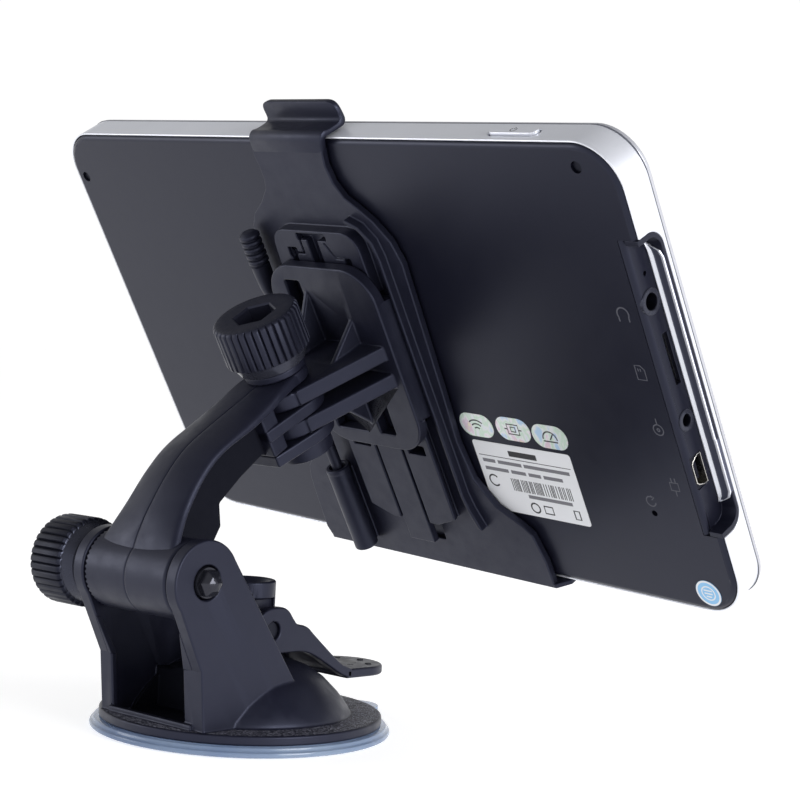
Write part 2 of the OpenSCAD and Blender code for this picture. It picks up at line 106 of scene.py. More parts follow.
def coords(nt, scale=1.0, squash=(1, 1, 1)):
    tc = nt.nodes.new("ShaderNodeTexCoord")
    mp = nt.nodes.new("ShaderNodeMapping")
    mp.inputs["Scale"].default_value = [scale * q for q in squash]
    nt.links.new(tc.outputs["Object"], mp.inputs["Vector"])
    return mp.outputs["Vector"]


def noise(nt, vec, detail=3, rough=0.5):
    n = nt.nodes.new("ShaderNodeTexNoise")
    n.inputs["Scale"].default_value = 1
    n.inputs["Detail"].default_value = detail
    n.inputs["Roughness"].default_value = rough
    nt.links.new(vec, n.inputs["Vector"])
    return n.outputs["Fac"]


def ramp(nt, fac, lo, hi, a=0.3, b=0.7):
    r = nt.nodes.new("ShaderNodeValToRGB")
    r.color_ramp.elements[0].position = a
    r.color_ramp.elements[1].position = b
    r.color_ramp.elements[0].color = (*lo, 1)
    r.color_ramp.elements[1].color = (*hi, 1)
    nt.links.new(fac, r.inputs["Fac"])
    return r.outputs["Color"]


def to_range(nt, fac, lo, hi, a=0.3, b=0.7):
    r = nt.nodes.new("ShaderNodeMapRange")
    r.inputs["From Min"].default_value = a
    r.inputs["From Max"].default_value = b
    r.inputs["To Min"].default_value = lo
    r.inputs["To Max"].default_value = hi
    nt.links.new(fac, r.inputs["Value"])
    return r.outputs["Result"]


def bump(nt, bsdf, height, strength, dist):
    b = nt.nodes.new("ShaderNodeBump")
    b.inputs["Strength"].default_value = strength
    b.inputs["Distance"].default_value = dist
    nt.links.new(height, b.inputs["Height"])
    nt.links.new(b.outputs["Normal"], bsdf.inputs["Normal"])


def plastic(name, col, rough, grain=3500, depth=0.00003, strength=0.35, spread=0.2, rspread=0.08, **kw):
    """Moulded plastic: slow colour drift, roughness drift and a fine spark-eroded grain."""
    m, nt, bsdf = new_mat(name, **kw)
    slow = noise(nt, coords(nt, 45), 4)
    lo = [c * (1 - spread) for c in col]
    hi = [c * (1 + spread) for c in col]
    nt.links.new(ramp(nt, slow, lo, hi), bsdf.inputs["Base Color"])
    mid = noise(nt, coords(nt, 260), 5, 0.6)
    nt.links.new(to_range(nt, mid, rough - rspread, rough + rspread), bsdf.inputs["Roughness"])
    fine = noise(nt, coords(nt, grain), 2)
    bump(nt, bsdf, fine, strength, depth)
    return m


M = {}
COOL = (0.66, 0.71, 1.0, 1)
M["mount"] = plastic("mount_satin", (0.0085, 0.0090, 0.0175), 0.42, 3200, 0.00003, 0.4, 0.10,
                     specular_ior_level=0.42, specular_tint=COOL)
M["flange"] = plastic("flange_grain", (0.012, 0.0125, 0.022), 0.46, 1300, 0.0003, 1.0, 0.12,
                      specular_ior_level=0.4, specular_tint=COOL)
M["knob"] = plastic("knob_matte", (0.0075, 0.0078, 0.0145), 0.44, 4200, 0.00003, 0.45, 0.1,
                    specular_ior_level=0.42, specular_tint=COOL)
M["cover"] = plastic("cover_soft_black", (0.0048, 0.0050, 0.0105), 0.34, 5200, 0.00001, 0.3, 0.04, 0.02,
                     specular_ior_level=0.42, specular_tint=COOL)
M["port"] = plastic("port_black", (0.006, 0.0065, 0.011), 0.26, 5200, 0.00001, 0.3, 0.06, 0.03,
                    specular_ior_level=0.45, specular_tint=COOL)
M["bezel"] = plastic("bezel_black", (0.009, 0.009, 0.011), 0.16, 5200, 0.00001, 0.25, 0.06, 0.03)
M["rim"] = plastic("bezel_rim_silver", (0.52, 0.53, 0.58), 0.32, 5200, 0.00001, 0.25, 0.05, 0.03,
                   metallic=0.4)
M["socket"] = plastic("socket_black", (0.003, 0.0032, 0.006), 0.42, 3000, 0.00002, 0.3, 0.1,
                      specular_ior_level=0.3, specular_tint=COOL)
# very dark low-gloss black laid where shade falls (the arm's web, the base's recess): painted shade
M["painted_shade"] = plastic("shadow_black", (0.0042, 0.0044, 0.0075), 0.6, 3000, 0.00002, 0.3, 0.1,
                    specular_ior_level=0.12, specular_tint=COOL)
M["ring"] = plastic("socket_ring", (0.022, 0.023, 0.032), 0.25, 3000, 0.00001, 0.3, 0.1,
                    specular_ior_level=0.45, specular_tint=COOL)
M["silver"] = plastic("frame_silver_paint", (0.79, 0.81, 0.88), 0.36, 9000, 0.00001, 0.3, 0.02, 0.03,
                      metallic=0.5)
M["seam"] = plastic("seam_grey", (0.10, 0.105, 0.13), 0.5, 5000, 0.00001, 0.2, 0.1)
# a darker copy of the knob plastic for the tilt knob: painted shade
M["knob_painted_shade"] = plastic("knob_shaded", (0.0045, 0.0048, 0.0095), 0.48, 4200, 0.00003, 0.45, 0.1,
                        specular_ior_level=0.3, specular_tint=COOL)
# darkened copy of the silver frame for the band beside the black port housing: painted dark reflection and
# shade
M["band"] = plastic("frame_band_painted_shade", (0.075, 0.08, 0.115), 0.36, 9000, 0.00001, 0.3, 0.02, 0.03,
                    metallic=0.4, specular_tint=COOL)
M["bolt_end"] = plastic("bolt_end_gloss", (0.03, 0.031, 0.042), 0.16, 1300, 0.00003, 0.4, 0.15, 0.04,
                        metallic=0.6)
M["steel"] = plastic("steel_plated", (0.62, 0.62, 0.64), 0.24, 2600, 0.00002, 0.3, 0.06, 0.08,
                     metallic=1.0)
M["dark_steel"] = plastic("steel_black_zinc", (0.035, 0.036, 0.045), 0.16, 1300, 0.00006, 0.5, 0.15,
                          0.05, metallic=0.8)
M["chrome"] = plastic("neck_chrome", (0.75, 0.76, 0.79), 0.16, 2600, 0.00001, 0.2, 0.05, 0.05,
                      metallic=1.0)
M["shell_metal"] = plastic("socket_tin", (0.72, 0.70, 0.66), 0.26, 2600, 0.00002, 0.3, 0.08, 0.08,
                           metallic=1.0)
M["nylon"] = plastic("tip_nylon", (0.72, 0.72, 0.70), 0.45, 2600, 0.00002, 0.3, 0.04)
M["pcb"] = plastic("board_green", (0.015, 0.10, 0.045), 0.4, 1800, 0.00004, 0.5, 0.25)
M["cell"] = plastic("cell_foil", (0.45, 0.46, 0.48), 0.38, 900, 0.00008, 0.4, 0.08, metallic=0.6)
M["ceramic"] = plastic("antenna_ceramic", (0.50, 0.45, 0.36), 0.6, 2400, 0.00004, 0.5, 0.1)
M["legend"] = plastic("legend_grey", (0.055, 0.057, 0.075), 0.5, 5200, 0.00001, 0.3, 0.1)
M["ink"] = plastic("label_ink", (0.018, 0.018, 0.022), 0.5, 3000, 0.00001, 0.2, 0.1)
M["greek"] = plastic("label_ink_thin", (0.16, 0.16, 0.18), 0.5, 3000, 0.00001, 0.2, 0.1)
M["paper"] = plastic("label_paper", (0.74, 0.75, 0.78), 0.38, 1200, 0.00002, 0.3, 0.03, 0.05)
M["sticker"] = plastic("sticker_blue", (0.24, 0.50, 0.78), 0.35, 1200, 0.00002, 0.3, 0.08, 0.05)
M["glass"] = plastic("screen_glass", (0.006, 0.006, 0.008), 0.08, 900, 0.000004, 0.1, 0.1, 0.02,
                     coat_weight=0.6)
M["lcd"] = plastic("lcd_dark", (0.02, 0.022, 0.026), 0.3, 3000, 0.00001, 0.2)
_nt = M["flange"].node_tree
_b = _nt.nodes["Principled BSDF"]
_nt.links.new(ramp(_nt, noise(_nt, coords(_nt, 2600), 2), (0.008, 0.0085, 0.016), (0.30, 0.302, 0.37),
                   0.48, 0.66), _b.inputs["Base Color"])
# clear pale-blue PVC
M["pad"], _nt, _b = new_mat("pad_clear_pvc", ior=1.42, transmission_weight=0.5)
_nt.links.new(to_range(_nt, noise(_nt, coords(_nt, 120), 4), 0.08, 0.22), _b.inputs["Roughness"])
_nt.links.new(ramp(_nt, noise(_nt, coords(_nt, 40), 3), (0.22, 0.32, 0.55), (0.42, 0.54, 0.74)),
              _b.inputs["Base Color"])
bump(_nt, _b, noise(_nt, coords(_nt, 700), 3), 0.15, 0.00004)
# foil with drifting interference colours
M["holo"], _nt, _b = new_mat("sticker_foil", metallic=0.35, roughness=0.28)
_r = _nt.nodes.new("ShaderNodeValToRGB")
_e = _r.color_ramp.elements
_e[0].position, _e[0].color = 0.30, (0.50, 0.68, 0.88, 1)
_e[1].position, _e[1].color = 0.72, (0.86, 0.80, 0.62, 1)
for _p, _c in ((0.42, (0.82, 0.84, 0.86, 1)), (0.52, (0.62, 0.78, 0.66, 1)),
               (0.60, (0.86, 0.86, 0.88, 1)), (0.66, (0.78, 0.62, 0.74, 1))):
    _e.new(_p).color = _c
_nt.links.new(noise(_nt, coords(_nt, 420, (1, 1, 0.35)), 2, 0.4), _r.inputs["Fac"])
_nt.links.new(_r.outputs["Color"], _b.inputs["Base Color"])
bump(_nt, _b, noise(_nt, coords(_nt, 2200), 2), 0.3, 0.00001)


# ---------- mesh helpers ----------
def finish_mesh(obj, angle=32):
    me = obj.data
    me.polygons.foreach_set("use_smooth", [True] * len(me.polygons))
    me.set_sharp_from_angle(angle=math.radians(angle))


def add_bevel(obj, width, segs=2, angle=32):
    b = obj.modifiers.new("edges", "BEVEL")
    b.width = width * MM
    b.segments = segs
    b.limit_method = "ANGLE"
    b.angle_limit = math.radians(angle)
    b.use_clamp_overlap = False
    b.harden_normals = True
    b.miter_outer = "MITER_ARC"
    return b


def carve(obj, cutters):
    """Cut shapes out of a piece and keep the result as its mesh."""
    for bm, matrix in cutters:
        bmesh.ops.transform(bm, matrix=matrix, verts=bm.verts)
        bmesh.ops.recalc_face_normals(bm, faces=bm.faces)
        me = bpy.data.meshes.new("cutter")
        bm.to_mesh(me)
        bm.free()
        tool = bpy.data.objects.new("cutter", me)
        scene.collection.objects.link(tool)
        mod = obj.modifiers.new("cut", "BOOLEAN")
        mod.object = tool
        mod.solver = "EXACT"
        new = bpy.data.meshes.new_from_object(obj.evaluated_get(bpy.context.evaluated_depsgraph_get()))
        obj.modifiers.clear()
        old, obj.data = obj.data, new
        bpy.data.meshes.remove(old)
        bpy.data.objects.remove(tool)
        bpy.data.meshes.remove(me)


def make(name, bm, matrix, body, mat, bevel=0, segs=2, angle=32, stands=(), cutters=(),
         dark=None):
    bmesh.ops.transform(bm, matrix=matrix, verts=bm.verts)
    bmesh.ops.recalc_face_normals(bm, faces=bm.faces)
    # faces that the dark mask picks go to the second slot, the painted-shade black
    if dark:
        for f in bm.faces:
            f.material_index = int(dark(f.calc_center_median() / MM))
    me = bpy.data.meshes.new(name)
    bm.to_mesh(me)
    bm.free()
    o = bpy.data.objects.new(name, me)
    scene.collection.objects.link(o)
    me.materials.append(M[mat] if isinstance(mat, str) else mat)
    if dark:
        me.materials.append(M["painted_shade"])
    carve(o, cutters)
    finish_mesh(o, angle)
    if bevel:
        add_bevel(o, bevel, segs, angle)
    if cutters:
        o.modifiers.new("even", "WEIGHTED_NORMAL").keep_sharp = True
    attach(o, body)
    if stands:
        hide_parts(*stands)
    return o


def body_for(node):
    for b, e in frame["bodies"].items():
        if NODES[node].parent == e:
            return b


def refined(node, mat, bevel=0.3, segs=2, angle=32, cutters=(), dark=None):
    """The CAD solid's own faces, joined up and with softened edges."""
    bm = bmesh.new()
    bm.from_mesh(NODES[node].data)
    bmesh.ops.remove_doubles(bm, verts=bm.verts, dist=2e-6)
    bmesh.ops.dissolve_limit(bm, angle_limit=math.radians(1.0), verts=bm.verts, edges=bm.edges)
    return make(node + ".skin", bm, Matrix.Identity(4), body_for(node), mat, bevel, segs, angle,
                (node,), cutters, dark)


def turn(n):
    return [math.tau * i / n for i in range(n)]


def loft(rings, closed=False, caps=True, bm=None):
    """Skin a row of equal rings of points, given in mm."""
    bm = bm or bmesh.new()
    rows = [[bm.verts.new(p) for p in ring] for ring in rings]
    n = len(rows[0])
    pairs = list(zip(rows, rows[1:])) + ([(rows[-1], rows[0])] if closed else [])
    for a, b in pairs:
        for i in range(n):
            k = (i + 1) % n
            bm.faces.new((a[i], a[k], b[k], b[i]))
    if caps and not closed:
        bm.faces.new(rows[0])
        bm.faces.new(list(reversed(rows[-1])))
    return bm


def lathe(profile, n=96, closed=False, bm=None):
    """Turn (radius, height) pairs about Z."""
    rings = [[(r * math.cos(t), r * math.sin(t), z) for t in turn(n)] for r, z in profile]
    return loft(rings, closed, True, bm)


def prism(poly, a, b, bm=None):
    return loft([[(x, y, a) for x, y in poly], [(x, y, b) for x, y in poly]], False, True, bm)


def ribbon(bm, pts, w, y0, y1, closed=False):
    """A printed line: pts in the x-z plane, w wide, from depth y0 to y1."""
    n = len(pts)
    rings = []
    for i, (x, z) in enumerate(pts):
        a = pts[i - 1] if (i or closed) else pts[0]
        b = pts[(i + 1) % n] if (i < n - 1 or closed) else pts[-1]
        d = Vector((b[0] - a[0], b[1] - a[1])).normalized() * (w / 2)
        rings.append([(x - d.y, y0, z + d.x), (x + d.y, y0, z - d.x), (x + d.y, y1, z - d.x),
                      (x - d.y, y1, z + d.x)])
    return loft(rings, closed, True, bm)


def arc(cx, cz, r, a0, a1, n=16, k=1.0):
    return [(cx + r * math.cos(math.radians(a0 + (a1 - a0) * i / n)),
             cz + k * r * math.sin(math.radians(a0 + (a1 - a0) * i / n)))
            for i in range(n + 1)]


def smooth(points, steps=5):
    """Catmull-Rom through a row of number tuples."""
    out = []
    for i in range(len(points) - 1):
        p0, p1, p2, p3 = points[max(i - 1, 0)], points[i], points[i + 1], points[min(i + 2,
            len(points) - 1)]
        for k in range(steps):
            t = k / steps
            out.append(tuple(0.5 * (2 * b + (c - a) * t + (2 * a - 5 * b + 4 * c - d) * t * t
                                    + (3 * b - a - 3 * c + d) * t ** 3)
                             for a, b, c, d in zip(p0, p1, p2, p3)))
    out.append(points[-1])
    return out


# prisms drawn in y, z and pushed along x; in x, z and pushed along y; turned parts laid along x
ALONG_X = Matrix(((0, 0, 1, 0), (1, 0, 0, 0), (0, 1, 0, 0), (0, 0, 0, 1)))
FLAT = Matrix(((1, 0, 0, 0), (0, 0, 1, 0), (0, 1, 0, 0), (0, 0, 0, 1)))
TO_X = Matrix.Rotation(math.radians(90), 4, "Y")


# ---------- every node gets its finish ----------
PLAIN = {"plunger_spring": "steel", "lcd_panel": "lcd", "main_board": "pcb", "battery": "cell",
         "speaker": "socket",
         "patch_antenna": "ceramic", "shield_cans": "shell_metal", "audio_jack": "socket",
         "av_jack": "socket",
         "card_socket": "shell_metal", "microphone": "shell_metal",
         "reset_switch": "shell_metal", "reset_button": "socket", "power_switch": "shell_metal",
         "tilt_bolt": "dark_steel",
         "head_bolt": "steel", "head_nut": "steel", "lever_pin": "socket"}
for n, m in PLAIN.items():
    me = NODES[n].data
    me.materials.clear()
    me.materials.append(M[m])


REF = {"plunger": ("mount", 0.45, 3),
       "tilt_washer": ("mount", 0.4, 3), "head_washer": ("mount", 0.5, 3),
       "head_plate": ("mount", 0.5, 3), "release_tongue": ("mount", 0.25, 2),
       "stylus_tip": ("nylon", 0.1, 2), "side_frame": ("silver", 0.3, 3), "front_bezel": ("rim", 0.45,
           3),
       "touch_glass": ("glass", 0.1, 2), "power_button": ("silver", 0.25, 3),
       "cover_screws": ("socket", 0.1, 1), "info_label": ("paper", 0, 1), "oval_stickers": ("holo", 0,
           1),
       "round_sticker": ("sticker", 0, 1)}
for n, (m, w, k) in REF.items():
    refined(n, m, w, k)


def round_rect(w, h, r, n=16):
    """Outline points with their outward directions."""
    out = []
    for cx, cz, a in ((w / 2 - r, h / 2 - r, 0), (r - w / 2, h / 2 - r, 90),
                      (r - w / 2, r - h / 2, 180), (w / 2 - r, r - h / 2, 270)):
        for i in range(n + 1):
            t = math.radians(a + 90 * i / n)
            out.append((cx + r * math.cos(t), cz + r * math.sin(t), math.cos(t), math.sin(t)))
    return out


def ring_cut(w, h, r, y, section, n=16):
    """A ring swept round a rounded rectangle; section gives (outward, depth) pairs."""
    return loft([[(x + nx * o, y + d, z + nz * o) for o, d in section] for x, z, nx,
                 nz in round_rect(w, h, r, n)], True)


def block(x0, x1, y0, y1, z0, z1, bm=None):
    return loft([[(x, y0, z0), (x, y1, z0), (x, y1, z1), (x, y0, z1)] for x in (x0, x1)], bm=bm)


# quarter round on the cover's rim
RIM_R = 1.35
quarter = [(RIM_R * math.sin(math.radians(9 * i)) - RIM_R,
            RIM_R - RIM_R * math.cos(math.radians(9 * i))) for i in range(11)]
rim = ring_cut(COVER_W, COVER_H, CORNER_R, 0, [(0.4, -0.4), (-RIM_R, -0.4)] + quarter + [(0.4, RIM_R)])
refined("back_cover", "cover", 0, 2, 28, [(rim, NAV)])
wall = loft([[(PORT_X + o, d, z) for o, d in [(0.4, -0.4), (-RIM_R, -0.4)] + quarter + [(0.4,
    RIM_R)]] for z in (-42, 42)])
refined("port_panel", "cover", 0.12, 2, 28, [(wall, NAV)])
hook_off = block(-30, 30, 15, 45, 54.3, 70)
left_cut = prism([(-10.0, 31), (-7.0, 31), (-7.0, 29.9), (-4.9, 29.9), (-4.9, 33.4), (-4.5, 33.4),
                  (-4.5, 29.5), (-7.2, 29.5), (-8.2, 26.4), (-10.0, 28.6)], 21, 23.4)
right_cut = prism([(3.2, 32.6), (3.7, 32.6), (5.9, 29.2), (9.2, 29.2), (9.2, 28.8), (5.5, 28.8)], 21,
                  23.0)
refined("cradle", "mount", 0.3, 3, 32, [(hook_off, PAN), (left_cut, PAN @ FLAT),
                                        (right_cut, PAN @ FLAT)])


# faces inside the base's recess take the painted-shade black: painted shade in the recess
def in_recess(p):
    return abs(p.x) < 13.45 and (-25.95 if p.x < 10.5 else -24.9) < p.y < -9 and 3 < p.z < 21


refined("base_housing", "mount", 0.45, 3, dark=in_recess)

# lever: two flowing cheeks, a web between them and a rounded thumb paddle
edge = smooth([(0, 28.0), (3.0, 27.9), (4.9, 26.9), (6.3, 25.2), (7.6, 23.9), (9.4, 23.5), (11.2, 22.8),
               (13.0, 21.3), (16.8, 18.2), (20.6, 15.2), (23.2, 13.4), (26.4, 12.15)], 3)
edge += smooth([(26.4, 9.85), (23.6, 10.75), (21.3, 11.9), (16.5, 14.6), (12.4, 16.7), (9.0, 17.5),
                (4, 17.6), (0, 17.6)], 3)
edge += [(5.2 * math.sin(math.radians(a)), 22.8 - 5.2 * math.cos(math.radians(a))) for a in range(-8,
    -173, -8)]
for side, x0, x1 in (("left", -9.1, -6.7), ("right", 6.7, 9.1)):
    hole = lathe([(2.08, -12), (2.08, 12)], 40)
    make("lever.cheek_" + side, prism(edge, x0, x1), S @ ALONG_X, body_for("lever"), "mount", 0.45, 3,
         40, ("lever",),
         [(hole, S @ Matrix.Translation((0, 0, 22.8)) @ TO_X)])
make("lever.web", prism([(13.0, 20.2), (13.0, 21.1), (20.6, 15.0), (26.4, 12.0), (26.4, 9.95),
                         (20, 13.4)], -7.5, 7.5), S @ ALONG_X, body_for("lever"), "mount", 0.2, 2)
outline = [(9.1, 24.6), (9.1, 33)] + [(9.1 * math.cos(math.radians(a)),
                                       33 + 9.1 * math.sin(math.radians(a))) for a in range(5, 180,
                                           5)] + [(-9.1, 33), (-9.1, 24.6)]
paddle = loft([[(x, y, z0 - (y - 26) * 0.02) for x, y in outline] for z0 in (9.95, 12.15)])
make("lever.paddle", paddle, BASE, body_for("lever"), "mount", 0.6, 4, 40)

# hook over the top edge, one bent strip
HOOK = [(25.45, 53.9, 27.25, 53.9, -13.95, 10.1), (25.45, 56.0, 27.25, 55.6, -13.98, 10.6),
        (25.55, 56.9, 27.25, 56.3, -14, 10.85), (25.95, 57.7, 27.4, 56.75, -14, 11),
        (26.6, 58.25, 27.9, 56.85, -14, 11.05), (27.3, 58.45, 28.4, 56.85, -14, 11.1), (28.9, 58.2,
            29.2, 56.85, -14, 11.1), (31.3, 58.25, 31.6, 56.85, -14, 11.15),
        (32.0, 58.4, 33.2, 56.95, -14, 11.2), (32.45, 58.8, 34.1, 57.6, -14, 11.2), (32.55, 59.5, 34.35,
            58.7, -14, 11.2), (32.4, 61.2, 34.0, 61.0, -14, 11.2),
        (32.28, 62.2, 33.88, 62.1, -13.6, 10.8), (32.22, 62.8, 33.82, 62.75, -12.9, 10.1), (32.3, 63.1,
            33.7, 63.05, -11.9, 9.1), (32.6, 63.2, 33.4, 63.18, -11.4, 8.6)]
rows = []
for yo, zo, yi, zi, xl, xr in smooth(HOOK, 3):
    row = []
    for x, k in ((xl + 0.55, 0), (xl + 0.16, 0.1), (xl, 0.34), (xl, 0.66), (xl + 0.16, 0.9),
                 (xl + 0.55, 1),
                 (xr - 0.55, 1), (xr - 0.16, 0.9), (xr, 0.66), (xr, 0.34), (xr - 0.16, 0.1), (xr - 0.55,
                     0)):
        row.append((x, yo + (yi - yo) * k, zo + (zi - zo) * k))
    rows.append(row)
make("cradle.hook", loft(rows), PAN, body_for("cradle"), "mount", 0, 2, 40)
# tips of the ear returns, running out up the front edges
for s0, a in ((1, 10.6), (-1, 12.6)):
    low = [(s0 * a, -27.85, 17.0), (s0 * 13.6, -27.85, 17.0), (s0 * 13.6, -26.3, 17.0),
           (s0 * a, -26.3, 17.0)]
    high = [(s0 * 13.3, -32.0, 25.4), (s0 * 13.6, -32.0, 25.4), (s0 * 13.6, -30.6, 25.4),
            (s0 * 13.3, -30.6, 25.4)]
    tip = loft([low, high])
    make("ear_tip_%s" % ("right" if s0 > 0 else "left"), tip, BASE, body_for("base_housing"), "mount",
         0.2, 2)
# dark discs for the dimples and the thumb mark on the lever's paddle: painted shade in the hollows
dots = bmesh.new()
for x, y in ((-4, 31), (4, 31), (0, 28), (-5, 36), (5, 36), (0, 38.6)):
    loft([[(x + 0.75 * math.cos(t), y + 0.75 * math.sin(t), z) for t in turn(20)] for z in (11.3,
        12.12)], bm=dots)
loft([[(3.0 * math.cos(t), 33.4 + 2.2 * math.sin(t), 12.0 + h) for t in turn(40)] for h in (-0.2,
    0.03)], bm=dots)
make("lever.dimple_shade", dots, BASE, body_for("lever"), "socket")

make("cradle.tongue_floor", block(-5.2, 5.2, 26.85, 27.2, -50.4, -42.5), PAN, body_for("cradle"),
     "mount", 0.05)

# ---------- suction pad ----------
pad = lathe([(33.0, 0), (33.5, 0.25), (33.6, 0.7), (33.45, 1.15), (33.0, 1.35), (32.85, 1.6),
             (32.7, 2.05), (32.2, 2.2),
             (10, 2.2), (10, 1.6), (28, 0.5), (30, 0.0)], 160, True)
prism([(6 * math.cos(t), 37 + (6 if math.sin(t) > 0 else 1) * math.sin(t) - 3.6 * (math.sin(t) < 0))
       for t in turn(40)], 0.2, 1.4, pad)
make("suction_pad.skin", pad, BASE, body_for("suction_pad"), "pad", 0.12, 2, 40, ("suction_pad",))
grain = lathe([(25.2, 4.28), (31.0, 4.28), (31.1, 4.34), (25.0, 4.34)], 128, True)
make("flange_grain_top", grain, BASE, body_for("base_housing"), "flange")

# ---------- ribbed knobs ----------
KNOB_RIBS = 36


def knob(name, node, matrix, mat="knob"):
    n, per = KNOB_RIBS, 6
    shape = (1.0, 1.0, 1.0, 1.0, 0.985, 0.94)

    def ring(z, r, ribbed=0.0, hexr=0.0):
        out = []
        for i in range(n * per):
            t = math.tau * i / (n * per)
            q = r * (1 + ribbed * (shape[i % per] - 1))
            if hexr:
                h = (t + math.pi / 6) % (math.pi / 3) - math.pi / 6
                q = hexr * math.cos(math.pi / 6) / math.cos(h)
            out.append((q * math.cos(t), q * math.sin(t), z))
        return out
    top = 12.8
    rows = [ring(0, 2.6), ring(0, 7.6), ring(0.2, 7.9), ring(0.9, 8.2), ring(2.2, 8.75), ring(2.7, 8.9),
            ring(2.8, 9.3, 0.6), ring(3.1, 9.85, 1), ring(3.5, 9.98, 1), ring(7, 9.98,
                1), ring(top - 0.95, 9.98, 1), ring(top - 0.5, 9.8, 1), ring(top - 0.15, 9.45, 0.4),
            ring(top, 9.05), ring(top - 0.02, 7.4), ring(top - 0.1, 0, 0, 5.35), ring(top - 0.5, 0, 0,
                5.0), ring(top - 4.4, 0, 0, 4.95), ring(top - 4.4, 2.6)]
    bm = loft(rows)
    for f in bm.faces:
        f.material_index = int(f.calc_center_median().z < 2.85)
    o = make(name, bm, matrix, body_for(node), mat, 0, 2, 26, (node,))
    o.data.materials.append(M["ring"])


# the tilt knob takes the painted-shade copy of the knob plastic
knob("tilt_knob.skin", "tilt_knob", AXLE @ Matrix.Translation((-18, 0,
    0)) @ Matrix.Rotation(math.radians(-90), 4, "Y"), "knob_painted_shade")
knob("head_knob.skin", "head_knob", HEAD @ Matrix.Translation((0, 0, 14)))
# dark glossy end of the tilt bolt, turned then cut to facets
end = lathe([(3.3, 14.4), (3.42, 15.6), (3.4, 16.3), (3.25, 16.7)], 48)
make("tilt_bolt.cap", end, AXLE @ TO_X, body_for("tilt_bolt"), "bolt_end")
end = lathe([(3.2, 16.6), (3.1, 18.0), (1.8, 19.1), (0.4, 19.5)], 6)
make("tilt_bolt.point", end, AXLE @ TO_X @ Matrix.Rotation(0.5, 4, "Z"), body_for("tilt_bolt"),
     "bolt_end", 0.3, 3, 10)

# ---------- arm ----------
# outer y, z; depth line y, z; half width; crown; hollow
STEPS = [(-34.3, 36.6, -25.0, 36.6, 12.6, 0.2, 0), (-34.4, 39.6, -24.4, 40.0, 12.3, 0.5, 0.2),
         (-33.7, 42.9, -24.8, 43.6, 11.5, 0.9, 0.8),
         (-32.4, 46.2, -24.6, 47.0, 10.5, 1.3, 1), (-30.2, 50.4, -23.2, 51.2, 9.5, 1.6, 1), (-25.9,
             57.1, -18.8, 57.8, 8.9, 1.8, 1),
         (-20.4, 63.2, -14.1, 62.4, 8.7, 1.8, 1), (-11.3, 69.5, -6.6, 66.9, 8.6, 1.6, 1), (-4.6, 73.8,
             -1.8, 70.3, 8.3, 1.0, 1),
         (-1.34, 75.95, 0.6, 73.0, 8.0, 0.5, 0.8), (2.05, 78.1, 3.6, 75.6, 7.4, 0.1, 0.4), (5.44, 80.2,
             7.0, 77.7, 6.8, 0, 0)]
rings = []
for oy, oz, iy, iz, w, crown, hollow in smooth(STEPS, 6):
    hollow = min(max(hollow, 0), 1)
    o, d = Vector((oy, oz)), Vector((iy - oy, iz - oz))
    depth = d.length
    d.normalize()
    half = []
    for f in (0, 0.015, 0.04, 0.15, 0.3, 0.45, 0.6, 0.72, 0.82, 0.89, 0.94, 0.975, 1.0):
        e = max(0, (f * w - w + 0.9) / 0.9)
        groove = 0.2 * hollow if f == 0 else 0.05 * hollow if f == 0.015 else 0
        half.append((f * w, groove + crown * f ** 2.2 + 0.8 * (1 - math.sqrt(max(0, 1 - e * e)))))
    lip = half[-1][1] + 0.7 + (1 - hollow) * 1.0
    half += [(w, lip), (w - 0.3, lip + 0.35), (w - 0.9, lip + 0.35), (w * 0.72, 2.4 + crown * 0.5),
             (w * 0.4, 2.3), (w * 0.2, 2.2)]
    row = half + [(-x, t) for x, t in reversed(half[1:])]
    rings.append([(x, o.x + d.x * t, o.y + d.y * t) for x, t in row])
arm = loft(rings)
# the web inside the arm's hollow is made in the painted-shade black: painted shade under the flanges
prism([(-26, 36), (-29.6, 46), (-25, 55), (-17.6, 62), (-9, 68.2), (-1, 73.4), (2.0, 71.6), (3.6, 66),
       (6.6, 63.8), (3.6, 60.8), (-0.6, 61.6),
       (-7, 56.6), (-12.9, 51), (-12.2, 46), (-16.6, 38)], -3.4, 3.4, web := bmesh.new())
make("arm.web", web, S @ ALONG_X, body_for("arm_shell"), "painted_shade", 0.3, 2)
make("arm.skin", arm, S, body_for("arm_shell"), "mount", 0, 2, 36, ("arm_shell",))
hub = lathe([(3, -11.4), (8.6, -11.4), (8.7, -11.3), (8.7, -10.8), (8.7, -0.6), (8.7, -0.16), (8.6, 0),
             (8.7, 0.16), (8.7, 0.6), (8.7, 12.0), (8.7, 12.5), (8.45, 12.85), (8.0, 13.0), (3,
                 13.0)], 128)
make("arm.hub", hub, AXLE @ TO_X, body_for("arm_shell"), "mount", 0, 2, 40)


def knuckle(name, r, wide, y, z0, z1):
    poly = [(r * math.cos(t), r * math.sin(t)) for t in (math.radians(-12 + 204 * i / 40) for i in range(41))]
    poly += [(-wide, y), (wide, y)]
    make(name, prism(poly, z0, z1), HEAD, body_for("arm_shell"), "mount", 0.45, 3)


knuckle("arm.knuckle_1", 6.9, 6.9, -3.0, 9.15, 11.9)
knuckle("arm.knuckle_2", 8.2, 6.4, -14.2, 1.9, 4.8)
knuckle("arm.knuckle_3", 8.2, 5.2, -13.4, -5.2, -2.3)
stem = prism([(-6.2, -14.2), (6.2, -14.2), (6.2, -9.6), (-6.2, -9.6)], -1.8, 9.6)
prism([(-4.6, -13), (4.6, -13), (4.6, -8.7), (-4.6, -8.7)], -5.0, -1.7, stem)
make("arm.stem", stem, HEAD, body_for("arm_shell"), "mount", 0.5, 3)
boss = lathe([(4.9, -6), (4.9, -9.1), (5.2, -9.4), (5.9, -9.4), (6.4, -9.1), (6.6, -8.5), (6.6, -5.1),
              (4.9, -5.1)], 72, True)
make("arm.nut_boss", boss, HEAD, body_for("arm_shell"), "mount")
